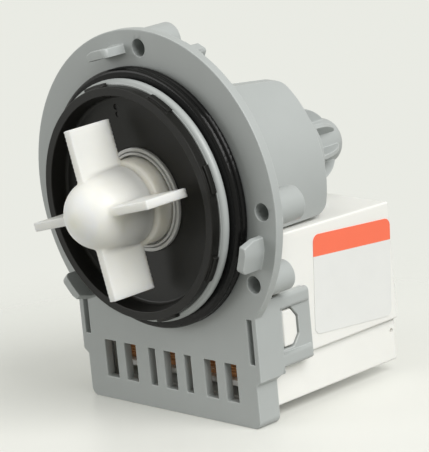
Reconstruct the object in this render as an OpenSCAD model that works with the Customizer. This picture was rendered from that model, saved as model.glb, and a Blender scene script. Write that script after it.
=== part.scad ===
// Washer drain pump: a flanged motor body with an open four-vane impeller.
// The shaft lies on the Y axis with the impeller at -Y, and Z is up. Sizes are in millimetres.
// The origin is the centre of the flange's front face.

/* [Flange and collar] */
// Radius of the round mounting flange
flange_r = 41; // [39.5:0.5:50]
// Thickness of the flange and of the base's front wall
flange_t = 2.4; // [2:0.1:3]
// Radius of the circle that the screw holes lie on
screw_circle_r = 36.5; // [36:0.25:38]
// Radius of a screw hole
screw_hole_r = 2.15; // [1.5:0.05:2.4]
// Reach of the screw bosses behind the flange's front face
boss_y = 10.4; // [8:0.2:12.5]
// Outer radius of the collar in front of the flange
collar_r = 29; // [28.5:0.1:29.5]
// Wall of the collar
collar_wall = 1.4; // [1.2:0.1:1.8]
// Length of the collar
collar_len = 6.2; // [5.8:0.1:7.5]
// Height of the rounded bead on the collar
bead_h = 1.05; // [0.6:0.05:1.1]
// Reach of the bayonet lugs in front of the flange
lug_len = 6.4; // [5.5:0.1:9]

/* [Base and shroud] */
// Depth of the base's underside below the shaft
base_drop = 54.7; // [50:0.1:66]
// Half width of the base at the snap loops
base_half_w = 31.04; // [31:0.02:33]
// Wall of the base's sides
base_wall = 2.4; // [2:0.1:2.45]
// Depth of the base, front to back, at the snap loops
base_depth = 8.5; // [7.5:0.1:9]
// Outer radius of the shroud's arc walls
shroud_r = 27.8; // [27.4:0.1:31]
// Thickness of the shroud's arc walls
shroud_wall = 1.8; // [1.4:0.1:2.2]

/* [Impeller] */
// Radius at the tips of the vanes
vane_r = 21; // [17:0.5:25]
// Width of a vane along the shaft
vane_w = 13; // [10:0.5:14]
// Thickness of a vane
vane_t = 2.2; // [1.6:0.1:3]
// Radius of the hub's round nose
hub_r = 8.7; // [8.5:0.1:9.3]
// Half angle of the clutch's two lugs
clutch_half_angle = 30; // [20:1:36]

/* [Motor] */
// Radius of the shaft
shaft_r = 2; // [1.7:0.05:2.4]
// Inner radius of the rotor chamber
chamber_r = 11.3; // [10.5:0.1:13.6]
// Length of the rotor magnet
magnet_len = 31.5; // [24:0.5:38]
// Thickness of the lamination stack along the shaft
stack_len = 20; // [16:0.5:24]
// Turns in the outer layer of each winding
coil_turns = 20; // [8:1:20]
// Diameter of the wire in the outer layer
wire_d = 0.72; // [0.5:0.02:0.74]

/* [Coil cover] */
// Half width of the white coil cover
cover_half_w = 28.5; // [28:0.1:28.5]
// Wall of the coil cover
cover_wall = 1.6; // [1.2:0.1:1.8]
// Room behind the coils for the connections
connection_room = 11.8; // [11:0.1:16]
// Length of the rating label
label_len = 27.6; // [20:0.2:29]
// Height of the rating label
label_h = 24.6; // [18:0.2:25]

/* [Hidden] */
$fn = 64;
// Overlap of shapes that join, and overshoot of shapes that cut
eps = 0.5;
// Clearances between pieces that fit together
run_gap = 0.04;
seat_gap = 0.05;
slide_gap = 0.1;
core_gap = 0.2;
air_gap = 0.7;

// Flange, collar, seal and lugs
boss_r = 4.3;
small_boss_r = 3.8;
screw_floor = 1;
screw_angles = [90, -30, -150];
extra_screw_angle = 0;
tab_angle = 66;
tab_w = 3.4;
tab_h = 2.6;
tab_inset = 0.2;
tab_round = 0.7;
tab_reach = 5.2;
bead_y = -4.94;
bead_r = 1.25;
collar_in_r = collar_r - collar_wall;
seal_in_r = collar_r + seat_gap;
seal_h = 3.2;
seal_r = collar_r + seal_h;
seal_ridge_r = 0.95;
seal_len = 3.7;
lug_stand_off = 6.2;
lug_in_r = collar_r + lug_stand_off;
lug_t = 2.2;
lug_r = lug_in_r + lug_t;
lug_w = 8;
lug_round = 1.4;
// Lead-in of a lug: what it takes off the outer face, the end and the front
lug_lead_w = 4.2;
lug_lead_r = 1;
lug_lead_end = 1.2;
lug_lead_y = 3.4;
lug_angles = [104, -16, -136];

// Front plate and bearing cap
rim_y = -8.8;
rim_in_r = 26.6;
rim_inset = 0.3;
rim_r = collar_r - rim_inset;
tooth_over = 0.45;
tooth_r = collar_r + tooth_over;
tooth_w = 7;
tooth_count = 8;
tooth_first_angle = 17.5;
tooth_len = 1.7;
tooth_lift = 0.15;
dish_y = -4.4;
dish_r = 25.8;
dish_chamfer = 0.5;
dish_mid_y = -3.3;
plate_back_y = -1.7;
// Mould marks on the dish: their radius and floor, and the place of each by radius and angle
mark_r = 0.75;
mark_y = -3.8;
marks = [[23.1, 103.5], [21.3, 104]];
cap_r = 12.8;
cap_in_r = 11.95;
cap_y = -4;
cap_groove_w = 0.25;
cap_groove_y = -3.1;
cap_ring_r = cap_in_r - cap_groove_w;
cap_ring_gap = 0.5;
cap_ring_y = -4.3;
cap_web_y = -2.4;
cap_back_y = -0.6;
cap_lip_r = 15;
cap_hole_gap = 1;

// Shaft bearings, sized outwards from the shaft
shaft_front_y = -22;
bush_in_r = shaft_r + run_gap;
bush_wall = 1.6;
bush_r = shaft_r + bush_wall;
holder_in_r = bush_r + seat_gap;
front_holder_wall = 1.95;
holder_r = bush_r + front_holder_wall;
front_pocket_r = holder_r + seat_gap;
pocket_wall = 1.4;
front_boss_r = front_pocket_r + pocket_wall;
front_boss_y = 9.5;
rear_holder_wall = 1.05;
rear_holder_r = bush_r + rear_holder_wall;
rear_pocket_r = rear_holder_r + seat_gap;
nose_side = 1.2;
nose_r = rear_pocket_r + nose_side;
seal_lip_y = [cap_back_y, 2];
front_bush_y = [2.3, 8.2];
holder_margin = 0.2;
retainer_y = [8.5, front_boss_y];
retainer_gap = 0.6;
retainer_in_r = shaft_r + retainer_gap;

// Rotor
washer_w = 2.4;
washer_r = shaft_r + washer_w;
washer_t = 0.8;
front_play = 0.3;
rear_play = 0.6;
rotor_y = front_boss_y + front_play + washer_t;
sleeve_end = 2;
sleeve_inset = 0.6;
sleeve_wall = 2;
sleeve_r = shaft_r + sleeve_wall;
magnet_y = rotor_y + sleeve_end;
magnet_r = chamber_r - air_gap;
sleeve_flange_r = magnet_r - sleeve_inset;
rotor_end_y = magnet_y + magnet_len + sleeve_end;
chamber_end_y = rotor_end_y + washer_t + rear_play;

// Rotor can
can_wall = 1.3;
can_r = chamber_r + can_wall;
can_taper = 2.9;
can_end_wall = 2.2;
can_end_r = can_r - can_taper;
can_end_y = chamber_end_y + can_end_wall;
rear_bush_len = 8.2;
rear_bush_inset = 0.4;
rear_bush_start = chamber_end_y + rear_bush_inset;
rear_bush_y = [rear_bush_start, rear_bush_start + rear_bush_len];
shaft_over = 0.4;
pocket_over = 3.7;
pocket_end_y = rear_bush_y[1] + pocket_over;
nose_wall = 3.2;
nose_end_y = pocket_end_y + nose_wall;
nose_round = 3;
gusset_count = 8;
gusset_angle = 40;
gusset_t = 1.3;
gusset_inset = 2;
gusset_r = can_r - gusset_inset;
gusset_lift = 0.9;
gusset_y = chamber_end_y + gusset_lift;
gusset_tip = 0.6;
gusset_short = 3.6;
gusset_end_y = nose_end_y - gusset_short;
gusset_bow = 1.2;
gusset_steps = 6;

// Impeller hub and clutch
vane_front_y = -21;
vane_angles = [104, 14, -76, -166];
hub_centre_y = -17.6;
bell_r = 9.6;
bell_y = -8.6;
bell_round = 0.8;
tip_angle = 5;
nose_steps = 16;
skirt_r = 10.6;
skirt_y = -3.4;
clutch_r = 6.6;
clutch_front_y = -15;
clutch_back_y = -6.4;
clutch_cover_r = 8;
clutch_cover_t = 2;
clutch_cover_gap = 0.5;
dog_wall = 1.4;
dog_gap = 0.4;
dog_hub_r = shaft_r + dog_wall;
dog_r = clutch_r - dog_gap;
stop_in_r = dog_hub_r + dog_gap;
dog_end_gap = 0.4;
dog_angle = 149;
blind_bore_gap = 0.6;

// Stator
stack_y = 12;
stack_end_y = stack_y + stack_len;
can_gap = 0.6;
pole_bore_r = can_r + can_gap;
pole_gap = 1.5;
pole_top = 13;
pole_web = 2.8;
pole_bottom = pole_bore_r + pole_web;
pole_side_gap = 0.3;
pole_corner_r = shroud_r - shroud_wall - pole_side_gap;
pole_half_w = sqrt(pow(pole_corner_r, 2) - pow(pole_top, 2));
leg_x = 13.5;
leg_w = 10;
yoke_h = 3;
cover_lift = 3.1;
cover_bottom = -base_drop + cover_lift;
yoke_bottom = cover_bottom + cover_wall;
yoke_top = yoke_bottom + yoke_h;

// Bobbins and windings, around each leg
bobbin_wall = 1;
bobbin_flange_t = 1.4;
bobbin_top = -pole_bottom - slide_gap;
bobbin_half_x = leg_w / 2 + core_gap + bobbin_wall;
bobbin_half_y = stack_len / 2 + core_gap + bobbin_wall;
stack_mid_y = stack_y + stack_len / 2;
winding_build = 3.6;
core_half_x = bobbin_half_x + winding_build;
core_half_y = bobbin_half_y + winding_build;
core_corner_r = 3;
flange_over = 1.9;
coil_low = yoke_top + bobbin_flange_t;
coil_high = bobbin_top - bobbin_flange_t;
wire_gap = 0.2;
wire_sides = 6;
corner_steps = 3;
loop_points = 4 * (corner_steps + 1);
wire_half_x = core_half_x + wire_gap + wire_d / 2;
wire_half_y = core_half_y + wire_gap + wire_d / 2;
wire_corner_r = core_corner_r + wire_gap + wire_d / 2;
wire_pitch = (coil_high - coil_low - 2 * wire_d) / coil_turns;
coil_back_y = stack_mid_y + wire_half_y + wire_d / 2;

// Coil cover
cover_front_y = 6.5;
shoulder_gap = 0.4;
cover_shoulder_y = boss_y + shoulder_gap;
cover_shoulder_z = -24;
cover_back_y = stack_mid_y + core_half_y + flange_over + connection_room + cover_wall;
cover_step_z = -40.8;
cover_inset = 1.2;
cover_low_half_w = cover_half_w - cover_inset;
cover_top_front = -9.4;
cover_top_back = -10.8;
saddle_gap = 0.6;
window_gap = 0.6;
pole_window = pole_half_w + window_gap;
pin_hole_r = 0.6;
pin_hole_inset = 1.5;
pin_hole_y = cover_back_y - pin_hole_inset;
pin_hole_z = -43.9;
label_t = 0.15;
label_inset = 15;
label_y = cover_back_y - label_inset;
label_z = -26;
label_tilt = -5;

// Base walls, which the cover slides between
base_step_z = -42.7;
base_step_h = 1.2;
base_in_half_w = cover_half_w + slide_gap;
base_low_in_half_w = cover_low_half_w + slide_gap;
base_low_thinner = 0.3;
base_low_half_w = base_low_in_half_w + base_wall - base_low_thinner;
base_low_depth = 7;
base_floor = 2.4;
base_corner_r = 2;
base_join_z = -flange_r / 3;
base_in_step_z = base_step_z + base_step_h;
// Vents in the base's front wall: centre and width of each, and a slit by each side
vent_top = -39.35;
vent_bottom = -48.86;
vents = [[0, 4], [13.95, 4], [20.99, 4], [-13.95, 4], [-20.99, 4], [6.25, 2.28], [-6.25, 2.28]];
slit_x = 27.9;
slit_w = 1.66;
slit_top = -27.3;
slit_bottom = -38.5;
slit_depth = 6;

// Snap loops on the base's sides, and the cover's nubs in them
loop_t = 1.7;
arm_t = base_half_w - base_in_half_w;
loop_end_y = 19.5;
loop_top = -23.4;
loop_bottom = -41.4;
loop_corner_r = 1.8;
arm_h = 3.8;
arm_short = 0.8;
arm_end_y = loop_end_y - arm_short;
arm_round = 1.1;
hole_front_y = 9.6;
hole_back_y = 15.2;
hole_top = -27.2;
hole_bottom = -37.1;
hole_chamfer_y = 2.2;
hole_chamfer_z = 2.75;
nub_gap = 0.4;
nub_h = 1.7;

// Shroud wings
shroud_short = 0.2;
shroud_end_y = stack_end_y - shroud_short;
shroud_top_front = 25.9;
shroud_top_back = 23.2;
shroud_bottom = -9.1;
shroud_low_round = 3.2;
shroud_top_round = 1.6;

// Terminals and connections
blade_x = 6;
blade_t = 0.8;
blade_h = 6.3;
blade_z = -38;
blade_reach = 8;
blade_root_y = cover_back_y - blade_reach;
blade_end_y = cover_back_y + blade_reach;
blade_hole_r = 0.85;
blade_hole_back = 3.6;
blade_tip = 1.2;
plinth_half_w = 11;
plinth_half_h = 5;
plinth_t = 1.2;
block_gap = 2.4;
block_front_y = coil_back_y + block_gap;
cutout_size = [10, 3.2, 6];
cutout_x = -13;
cutout_z = -27;
cutout_gap = 0.3;
lead_r = 0.45;
lead_room = 1.1;
lead_y = coil_back_y + lead_room;
lead_gap = 0.15;

grey = "#a3a8ad";
black = "#2b2b29";
white = "#f0efe9";
steel = "#b9bcc0";
copper = "#b06a3a";
rubber = "#303030";
ferrite = "#3c3c40";
lead_tan = "#c8b48a";
brass = "#c9b46a";

// Shared shapes

// A solid of revolution about the shaft, from points of radius and Y.
module revolve(points) {
    rotate([-90, 0, 0]) rotate_extrude() polygon(points);
}

// Points on an arc about a centre, from one angle to another.
function arc(centre, r, from, to, steps) =
    [for (i = [0 : steps]) let (a = from + (to - from) * i / steps) centre + r * [cos(a), sin(a)]];

// A round rod on the shaft's axis.
module rod(r, y0, y1) {
    translate([0, y0, 0]) rotate([-90, 0, 0]) cylinder(r = r, h = y1 - y0);
}

// A ring on the shaft's axis.
module ring(r, in_r, y0, y1) {
    revolve([[in_r, y0], [r, y0], [r, y1], [in_r, y1]]);
}

// Turns its children about the shaft, from +X towards +Z.
module turn(angle) {
    rotate([0, -angle, 0]) children();
}

module both_sides() {
    children();
    mirror([1, 0, 0]) children();
}

module block(x, y, z) {
    translate([x[0], y[0], z[0]]) cube([x[1] - x[0], y[1] - y[0], z[1] - z[0]]);
}

// Extrudes an outline drawn in X and Z along Y.
module along_y(y0, y1) {
    translate([0, y1, 0]) rotate([90, 0, 0]) linear_extrude(y1 - y0) children();
}

// Extrudes an outline drawn in Y and Z along X.
module along_x(x0, x1) {
    translate([x0, 0, 0]) rotate([90, 0, 90]) linear_extrude(x1 - x0) children();
}

module rect(x, y) {
    translate([x[0], y[0]]) square([x[1] - x[0], y[1] - y[0]]);
}

module round_rect(x, y, r) {
    rect([x[0] + r, x[1] - r], y);
    rect(x, [y[0] + r, y[1] - r]);
    for (u = [x[0] + r, x[1] - r], v = [y[0] + r, y[1] - r])
        translate([u, v]) circle(r);
}

// A wedge about the shaft, wide enough to cut a ring into one lug.
module wedge(angle, half_angle, y0, y1, reach) {
    turn(angle) along_y(y0, y1)
        polygon([[0, 0], reach * [cos(half_angle), -sin(half_angle)],
            [reach, 0], reach * [cos(half_angle), sin(half_angle)]]);
}

// Pump body

module base_outline() {
    step_end = base_step_z - base_step_h;
    polygon([[-base_half_w, base_step_z], [-base_low_half_w, step_end],
        [base_low_half_w, step_end], [base_half_w, base_step_z],
        [base_half_w, 0], [-base_half_w, 0]]);
    round_rect([-base_low_half_w, base_low_half_w], [-base_drop, step_end + base_corner_r],
        base_corner_r);
}

module base_inside() {
    rect([-base_in_half_w, base_in_half_w], [base_in_step_z, eps]);
    rect([-base_low_in_half_w, base_low_in_half_w], [-base_drop + base_floor, base_in_step_z + eps]);
}

module base_tray() {
    along_y(0, flange_t) intersection() {
        base_outline();
        rect([-flange_r, flange_r], [-base_drop - eps, base_join_z]);
    }
    along_y(0, base_low_depth) difference() {
        intersection() {
            base_outline();
            rect([-flange_r, flange_r], [-base_drop - eps, base_in_step_z]);
        }
        base_inside();
    }
    both_sides()
        block([base_in_half_w, base_half_w], [0, base_depth], [base_step_z, loop_top]);
}

module snap_hole(gap) {
    polygon([[hole_front_y + gap, hole_top - gap], [hole_back_y - hole_chamfer_y, hole_top - gap],
        [hole_back_y - gap, hole_top - hole_chamfer_z], [hole_back_y - gap, hole_bottom + hole_chamfer_z],
        [hole_back_y - hole_chamfer_y, hole_bottom + gap], [hole_front_y + gap, hole_bottom + gap]]);
}

module snap_loop() {
    along_x(base_in_half_w, base_in_half_w + loop_t) difference() {
        round_rect([flange_t / 4, loop_end_y], [loop_bottom, loop_top], loop_corner_r);
        snap_hole(0);
    }
    for (z = [loop_top - arm_h, loop_bottom])
        along_y(flange_t / 2, arm_end_y)
            round_rect([base_in_half_w, base_in_half_w + arm_t], [z, z + arm_h], arm_round);
}

module shroud_wing() {
    intersection() {
        ring(shroud_r, shroud_r - shroud_wall, flange_t / 2, shroud_end_y);
        along_x(0, shroud_r + eps) shroud_side();
    }
}

// The wing seen from its side: a sloping top and two rounded corners at the rear.
module shroud_side() {
    difference() {
        polygon([[0, shroud_bottom], [shroud_end_y, shroud_bottom],
            [shroud_end_y, shroud_top_back], [0, shroud_top_front]]);
        corner_cut(shroud_end_y, shroud_bottom, shroud_low_round, 1);
        corner_cut(shroud_end_y, shroud_top_back, shroud_top_round, -1);
    }
}

// What a rounded corner takes off: side is 1 for a lower corner and -1 for an upper one.
module corner_cut(y, z, r, side) {
    translate([y - r, z + side * r]) difference() {
        rect([0, r + eps], side > 0 ? [-r - eps, 0] : [0, r + eps]);
        circle(r);
    }
}

module can_shell() {
    revolve([[0, flange_t / 2], [can_r, flange_t / 2], [can_r, chamber_end_y],
        [can_end_r, can_end_y], [0, can_end_y]]);
    revolve(concat([[0, can_end_y - eps], [nose_r, can_end_y - eps]],
        arc([nose_r - nose_round, nose_end_y - nose_round], nose_round, 0, 90, nose_steps),
        [[0, nose_end_y]]));
    for (i = [0 : gusset_count - 1])
        turn(gusset_angle + i * 360 / gusset_count) gusset();
}

// A gusset, whose outer edge bows outwards between the can and the nose.
module gusset() {
    start = [gusset_r, gusset_y];
    run = [nose_r + gusset_tip, gusset_end_y] - start;
    out = [run[1], -run[0]] / norm(run);
    edge = [for (i = [0 : gusset_steps]) let (t = i / gusset_steps)
        start + t * run + 4 * t * (1 - t) * gusset_bow * out];
    translate([0, 0, -gusset_t / 2]) linear_extrude(gusset_t)
        polygon(concat([[nose_r / 2, gusset_y]], edge, [[nose_r / 2, gusset_end_y]]));
}

module collar() {
    ring(collar_r, collar_in_r, -collar_len, flange_t / 2);
    bead_reach = bead_r - bead_h;
    half = acos(bead_reach / bead_r);
    revolve(concat([[collar_r - collar_wall / 2, bead_y - bead_r * sin(half)]],
        arc([collar_r - bead_reach, bead_y], bead_r, -half, half, nose_steps),
        [[collar_r - collar_wall / 2, bead_y + bead_r * sin(half)]]));
}

// A lug, rounded at the front of its clockwise end and drawn in at its other end.
module lug() {
    half = lug_w / 2;
    lead = half - lug_lead_w;
    intersection() {
        ring(lug_r, lug_in_r, -lug_len - eps, flange_t / 2);
        along_x(0, flange_r)
            polygon(concat([[flange_t, -half]],
                arc([lug_round - lug_len, lug_round - half], lug_round, 270, 180, nose_steps),
                [[-lug_len, half - lug_lead_end], [lug_lead_y - lug_len, half], [flange_t, half]]));
        along_y(-lug_len - eps, flange_t)
            polygon([[0, -half - eps], [lug_r + eps, -half - eps], [lug_r + eps, lead],
                [lug_r - lug_lead_r, half], [lug_r - lug_lead_r, half + eps], [0, half + eps]]);
    }
}

// The small tab behind the flange's edge.
module flange_tab() {
    outer = flange_r - tab_inset;
    along_y(flange_t / 2, tab_reach)
        round_rect([outer - tab_h, outer], [-tab_w / 2, tab_w / 2], tab_round);
}

module screw_boss(angle, r) {
    turn(angle) translate([screw_circle_r, 0, 0]) rod(r, flange_t / 2, boss_y);
}

module screw_hole(angle) {
    turn(angle) translate([screw_circle_r, 0, 0]) rod(screw_hole_r, -eps, boss_y - screw_floor);
}

module pump_body() {
    color(grey) difference() {
        union() {
            rod(flange_r, 0, flange_t);
            base_tray();
            both_sides() snap_loop();
            both_sides() shroud_wing();
            collar();
            can_shell();
            for (angle = lug_angles) turn(angle) lug();
            for (angle = [screw_angles[0], extra_screw_angle]) screw_boss(angle, boss_r);
            for (angle = [screw_angles[1], screw_angles[2]]) screw_boss(angle, small_boss_r);
            turn(tab_angle) flange_tab();
        }
        for (angle = screw_angles) screw_hole(angle);
        screw_hole(extra_screw_angle);
        rod(chamber_r, -eps, chamber_end_y);
        rod(rear_pocket_r, 0, pocket_end_y);
        for (vent = vents)
            block([vent[0] - vent[1] / 2, vent[0] + vent[1] / 2], [-eps, flange_t + eps],
                [vent_bottom, vent_top]);
        both_sides()
            block([slit_x, slit_x + slit_w], [-eps, slit_depth], [slit_bottom, slit_top]);
    }
}

// Pieces in front of the flange

module seal_ring() {
    color(rubber) {
        ring(seal_r - seal_ridge_r, seal_in_r, -seal_len, -seat_gap);
        for (y = [-seal_ridge_r - seat_gap, seal_ridge_r - seal_len])
            rotate([-90, 0, 0]) rotate_extrude() translate([seal_r - seal_ridge_r, y]) circle(seal_ridge_r);
    }
}

module front_plate() {
    skirt = collar_in_r - slide_gap;
    color(black) difference() {
        union() {
            revolve([[cap_r + seat_gap, dish_mid_y], [dish_r - dish_chamfer, dish_y],
                [dish_r, dish_y - dish_chamfer], [rim_in_r, rim_y], [rim_r, rim_y],
                [rim_r, -collar_len], [skirt, -collar_len], [skirt, -slide_gap],
                [skirt - collar_wall, -slide_gap], [skirt - collar_wall, plate_back_y],
                [cap_r + seat_gap, plate_back_y]]);
            for (i = [0 : tooth_count - 1])
                turn(tooth_first_angle + i * 360 / tooth_count) rim_tooth();
        }
        for (mark = marks)
            turn(mark[1]) translate([mark[0], 0, 0]) rod(mark_r, rim_y, mark_y);
    }
}

module rim_tooth() {
    intersection() {
        ring(tooth_r, rim_r - collar_wall, -collar_len - tooth_len, -collar_len - tooth_lift);
        block([0, flange_r], [rim_y, 0], [-tooth_w / 2, tooth_w / 2]);
    }
}

module bearing_cap() {
    color(grey) difference() {
        union() {
            ring(cap_r, cap_in_r, cap_y, cap_back_y);
            ring(cap_ring_r, skirt_r + cap_ring_gap, cap_ring_y, cap_back_y);
            ring(cap_in_r + eps, cap_ring_r - eps, cap_groove_y, cap_back_y);
            rod(cap_r, cap_web_y, cap_back_y);
            rod(cap_lip_r, plate_back_y, cap_back_y);
            rod(front_boss_r, cap_web_y, front_boss_y);
        }
        rod(shaft_r + cap_hole_gap, cap_web_y - eps, front_boss_y);
        rod(front_pocket_r, cap_back_y, front_boss_y + eps);
    }
}

// Impeller and start clutch

module impeller() {
    color(white) difference() {
        union() {
            revolve(concat([[0, hub_centre_y - hub_r * cos(tip_angle)]],
                arc([0, hub_centre_y], hub_r, tip_angle - 90, 0, nose_steps),
                [[bell_r, bell_y - bell_round], [bell_r - bell_round / 3, bell_y],
                    [skirt_r - bell_round / 3, bell_y + bell_round / 3], [skirt_r, bell_y + bell_round],
                    [skirt_r, skirt_y], [0, skirt_y]]));
            for (angle = vane_angles)
                turn(angle) block([hub_r / 2, vane_r], [vane_front_y, vane_front_y + vane_w],
                    [-vane_t / 2, vane_t / 2]);
        }
        rod(bush_in_r, shaft_front_y - blind_bore_gap, clutch_front_y + eps);
        rod(clutch_cover_r, clutch_back_y, skirt_y + eps);
        difference() {
            rod(clutch_r, clutch_front_y, clutch_back_y + eps);
            intersection() {
                ring(clutch_r + eps, stop_in_r, clutch_front_y, clutch_back_y);
                wedge(dog_angle + 180, clutch_half_angle, clutch_front_y, clutch_back_y, 2 * clutch_r);
            }
        }
    }
}

module clutch_cover() {
    color(white)
        ring(clutch_cover_r - seat_gap, shaft_r + clutch_cover_gap, clutch_back_y,
            clutch_back_y + clutch_cover_t);
}

module drive_dog() {
    y0 = clutch_front_y + dog_end_gap;
    y1 = clutch_back_y - dog_end_gap;
    color(black) {
        ring(dog_hub_r, shaft_r + seat_gap / 2, y0, y1);
        intersection() {
            ring(dog_r, dog_hub_r - run_gap, y0, y1);
            wedge(dog_angle, clutch_half_angle, y0, y1, 2 * clutch_r);
        }
    }
}

// Rotor and its bearings

module shaft() {
    color(steel) rod(shaft_r, shaft_front_y, rear_bush_y[1] + shaft_over);
}

module rotor_magnet() {
    color(ferrite) ring(magnet_r, sleeve_r + seat_gap, magnet_y, magnet_y + magnet_len);
}

module rotor_sleeve() {
    hole = shaft_r + seat_gap / 2;
    color(black) revolve([[hole, rotor_y], [sleeve_flange_r, rotor_y], [sleeve_flange_r, magnet_y],
        [sleeve_r, magnet_y], [sleeve_r, magnet_y + magnet_len],
        [sleeve_flange_r, magnet_y + magnet_len], [sleeve_flange_r, rotor_end_y], [hole, rotor_end_y]]);
}

module front_thrust_washer() {
    color(white) ring(washer_r, shaft_r + seat_gap / 2, rotor_y - washer_t, rotor_y);
}

module rear_thrust_washer() {
    color(white) ring(washer_r, shaft_r + seat_gap / 2, rotor_end_y, rotor_end_y + washer_t);
}

module shaft_seal() {
    color(rubber) ring(holder_r, shaft_r + run_gap, seal_lip_y[0], seal_lip_y[1]);
}

module front_bush() {
    color(steel) ring(bush_r, bush_in_r, front_bush_y[0], front_bush_y[1]);
}

module front_bush_holder() {
    color(rubber)
        ring(holder_r, holder_in_r, front_bush_y[0] - holder_margin, front_bush_y[1] + holder_margin);
}

module bush_retainer() {
    color(black) ring(holder_r, retainer_in_r, retainer_y[0], retainer_y[1]);
}

module rear_bush() {
    color(steel) ring(bush_r, bush_in_r, rear_bush_y[0], rear_bush_y[1]);
}

module rear_bush_holder() {
    color(rubber)
        ring(rear_holder_r, holder_in_r, rear_bush_y[0] - holder_margin, rear_bush_y[1] + holder_margin);
}

// Stator

module stator_pole() {
    color(steel) along_y(stack_y, stack_end_y) difference() {
        union() {
            rect([pole_gap, pole_half_w], [-pole_bottom, pole_top]);
            rect([leg_x - leg_w / 2, leg_x + leg_w / 2], [yoke_top, eps - pole_bottom]);
        }
        circle(pole_bore_r);
    }
}

module stator_pole_right() {
    stator_pole();
}

module stator_pole_left() {
    mirror([1, 0, 0]) stator_pole();
}

module stator_yoke() {
    half = leg_x + leg_w / 2;
    color(steel) block([-half, half], [stack_y, stack_end_y], [yoke_bottom, yoke_top]);
}

// A rectangle around a leg, given its half sizes, from one height to another.
module around_leg(half_x, half_y, z0, z1, r) {
    translate([leg_x, stack_mid_y, z0]) linear_extrude(z1 - z0)
        round_rect([-half_x, half_x], [-half_y, half_y], r);
}

module bobbin() {
    edge_x = core_half_x + flange_over;
    edge_y = core_half_y + flange_over;
    color(white) difference() {
        union() {
            around_leg(bobbin_half_x, bobbin_half_y, yoke_top, bobbin_top, bobbin_wall);
            around_leg(edge_x, edge_y, yoke_top, coil_low, core_corner_r);
            around_leg(edge_x, edge_y, coil_high, bobbin_top, core_corner_r);
        }
        translate([leg_x, stack_mid_y, 0])
            block([-leg_w / 2 - core_gap, leg_w / 2 + core_gap],
                [-stack_len / 2 - core_gap, stack_len / 2 + core_gap], [yoke_top - eps, bobbin_top + eps]);
    }
}

module bobbin_right() {
    bobbin();
}

module bobbin_left() {
    mirror([1, 0, 0]) bobbin();
}

module coil_core() {
    color(copper) difference() {
        around_leg(core_half_x, core_half_y, coil_low + seat_gap, coil_high - seat_gap, core_corner_r);
        around_leg(bobbin_half_x + seat_gap, bobbin_half_y + seat_gap, coil_low - eps, coil_high + eps,
            bobbin_wall);
    }
}

module coil_core_right() {
    coil_core();
}

module coil_core_left() {
    mirror([1, 0, 0]) coil_core();
}

// The outer layer of a winding: one tube that climbs a pitch on each loop round the core.

function wire_angle(i) =
    let (j = i % loop_points, corner = floor(j / (corner_steps + 1)))
    90 * corner + (j % (corner_steps + 1)) * 90 / corner_steps;

function wire_corner(i) =
    let (corner = floor((i % loop_points) / (corner_steps + 1)))
    [corner == 1 || corner == 2 ? -1 : 1, corner > 1 ? -1 : 1];

function wire_point(i) =
    let (a = wire_angle(i), side = wire_corner(i))
    [side[0] * (wire_half_x - wire_corner_r) + wire_corner_r * cos(a),
        side[1] * (wire_half_y - wire_corner_r) + wire_corner_r * sin(a),
        coil_low + wire_d + wire_pitch * i / loop_points];

wire_count = coil_turns * loop_points;
wire_inner = [for (i = [0 : wire_count - 1]) wire_point(i)];
wire_path = concat([wire_inner[0] - [0, wire_d, 0]], wire_inner,
    [wire_inner[wire_count - 1] + [0, wire_d, 0]]);
wire_last = len(wire_path) - 1;

function unit(v) = v / norm(v);

function wire_tangent(i) = unit(wire_path[min(i + 1, wire_last)] - wire_path[max(i - 1, 0)]);

function wire_ring(i) =
    let (t = wire_tangent(i), side = unit(cross(t, [0, 0, 1])), up = cross(side, t))
    [for (k = [0 : wire_sides - 1])
        wire_path[i] + wire_d / 2 * (cos(k * 360 / wire_sides) * side + sin(k * 360 / wire_sides) * up)];

wire_vertices = [for (i = [0 : wire_last]) each wire_ring(i)];
wire_faces = concat(
    [for (i = [0 : wire_last - 1], k = [0 : wire_sides - 1])
        let (a = i * wire_sides + k, b = i * wire_sides + (k + 1) % wire_sides)
        each [[a, b, a + wire_sides], [b, b + wire_sides, a + wire_sides]]],
    [for (k = [1 : wire_sides - 2]) [0, k + 1, k]],
    [for (k = [1 : wire_sides - 2]) wire_last * wire_sides * [1, 1, 1] + [0, k, k + 1]]);

// Least distance between points of the tube that are half a loop or more apart along it.
wire_self_gap = min([for (i = [0 : wire_last], j = [i + loop_points / 2 : wire_last])
    norm(wire_path[i] - wire_path[j])]) - wire_d;
echo(str("least gap between the turns of a winding: ", wire_self_gap, " mm"));

module winding() {
    color(copper) translate([leg_x, stack_mid_y, 0]) polyhedron(wire_vertices, wire_faces);
}

module winding_right() {
    winding();
}

module winding_left() {
    mirror([1, 0, 0]) winding();
}

// Connections

module thermal_cutout() {
    color(black)
        translate([cutout_x - cutout_size[0] / 2, coil_back_y + cutout_gap, cutout_z - cutout_size[2] / 2])
            cube(cutout_size);
}

// A bent lead through the given points.
module lead(points) {
    for (i = [0 : len(points) - 2]) {
        step = points[i + 1] - points[i];
        last = i == len(points) - 2;
        translate(points[i]) rotate([0, acos(step[2] / norm(step)), atan2(step[1], step[0])])
            cylinder(r = lead_r, h = norm(step) + (last ? 0 : lead_r / 2), $fn = wire_sides);
    }
}

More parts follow.
